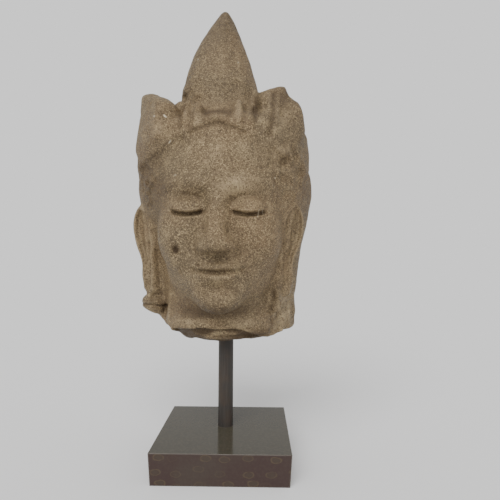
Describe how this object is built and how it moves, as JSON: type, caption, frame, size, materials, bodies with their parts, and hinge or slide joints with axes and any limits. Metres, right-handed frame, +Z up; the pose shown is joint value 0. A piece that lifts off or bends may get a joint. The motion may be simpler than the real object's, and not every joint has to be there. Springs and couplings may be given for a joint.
{
  "type": "stone buddha head on stand",
  "caption": "Weathered carved stone head with closed eyes, long ears and a pointed crown, on a round rod above a square plinth.",
  "frame": {"origin": "centre of the plinth's underside", "axes": "+Z up along the rod towards the crown's tip, the face looks along -Y, +X is to the viewer's right"},
  "size_m": [0.2242, 0.214, 0.542],
  "materials": {
    "weathered_sandstone": "matt, granular and worn, with darker hollows and paler chips",
    "blackened_steel": "satin, dark grey-brown, with fine drawn lines",
    "lacquered_wood": "glossy dark red-brown lacquer with faint oval rings"
  },
  "bodies": {
    "root": {"stone_head": "weathered_sandstone", "support_rod": "blackened_steel", "plinth": "lacquered_wood"}
  },
  "joints": []
}
